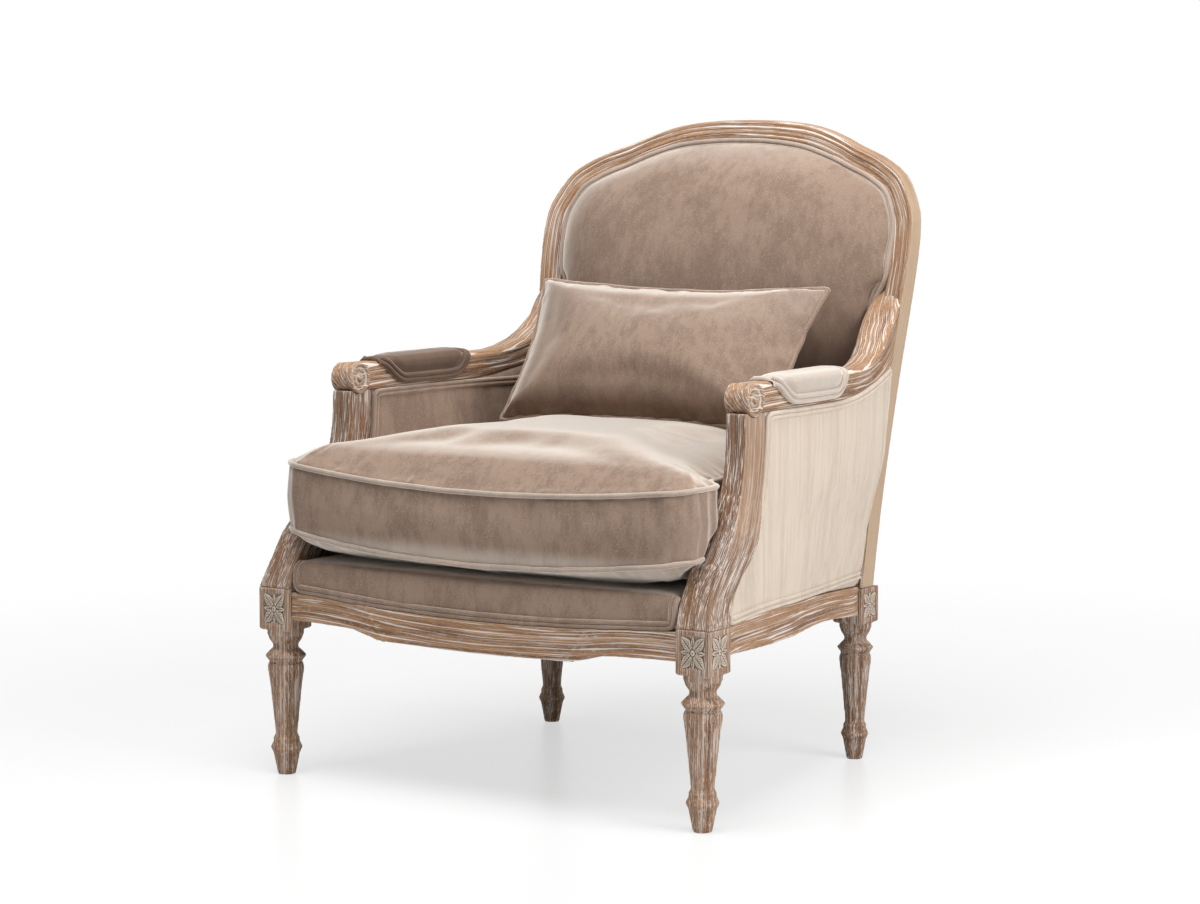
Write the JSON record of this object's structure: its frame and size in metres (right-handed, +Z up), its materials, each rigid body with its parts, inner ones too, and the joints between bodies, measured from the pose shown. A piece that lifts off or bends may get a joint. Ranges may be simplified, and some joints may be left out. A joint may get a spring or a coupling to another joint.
{
  "type": "bergere chair",
  "caption": "Show-wood armchair with scrolled arms, turned fluted legs, a humped upholstered back, a loose seat cushion and a lumbar pillow.",
  "frame": {"origin": "on the floor, at the middle of the chair's plan", "axes": "+X to the right of someone facing the chair's front, +Y towards its back, +Z up"},
  "size_m": [0.774, 0.77, 0.946],
  "materials": {
    "limed_oak": "limed and waxed, open grain with white in the pores and grooves",
    "inner_hardwood": "raw, planed",
    "velvet": "short cotton velvet pile",
    "linen": "slubbed plain weave",
    "dust_cloth": "thin non-woven cloth"
  },
  "bodies": {
    "frame": {"front_leg_left": "limed_oak", "front_leg_right": "limed_oak", "rear_leg_left": "limed_oak", "rear_leg_right": "limed_oak", "front_rail": "limed_oak", "side_rail_left": "limed_oak", "side_rail_right": "limed_oak", "back_rail": "limed_oak", "arm_post_left": "limed_oak", "arm_post_right": "limed_oak", "arm_left": "limed_oak", "arm_right": "limed_oak", "back_post_left": "limed_oak", "back_post_right": "limed_oak", "crest_rail": "limed_oak", "front_corner_block_left": "inner_hardwood", "front_corner_block_right": "inner_hardwood", "rear_corner_block_left": "inner_hardwood", "rear_corner_block_right": "inner_hardwood", "stay_rail": "inner_hardwood", "inside_back_pad": "velvet", "inside_arm_pad_left": "velvet", "inside_arm_pad_right": "velvet", "arm_pad_left": "velvet", "arm_pad_right": "velvet", "seat_deck": "velvet", "outside_back_panel": "linen", "outside_arm_panel_left": "linen", "outside_arm_panel_right": "linen", "dust_cover": "dust_cloth"},
    "seat_cushion": {"seat_cushion": "velvet"},
    "lumbar_pillow": {"lumbar_pillow": "velvet"}
  },
  "joints": [
    {"name": "seat_cushion_lift", "type": "slide", "parent": "frame", "child": "seat_cushion", "axis": [0, 0, 1], "range_m": [0, 0.3]},
    {"name": "lumbar_pillow_lift", "type": "slide", "parent": "seat_cushion", "child": "lumbar_pillow", "axis": [0, 0, 1], "range_m": [0, 0.25]}
  ]
}
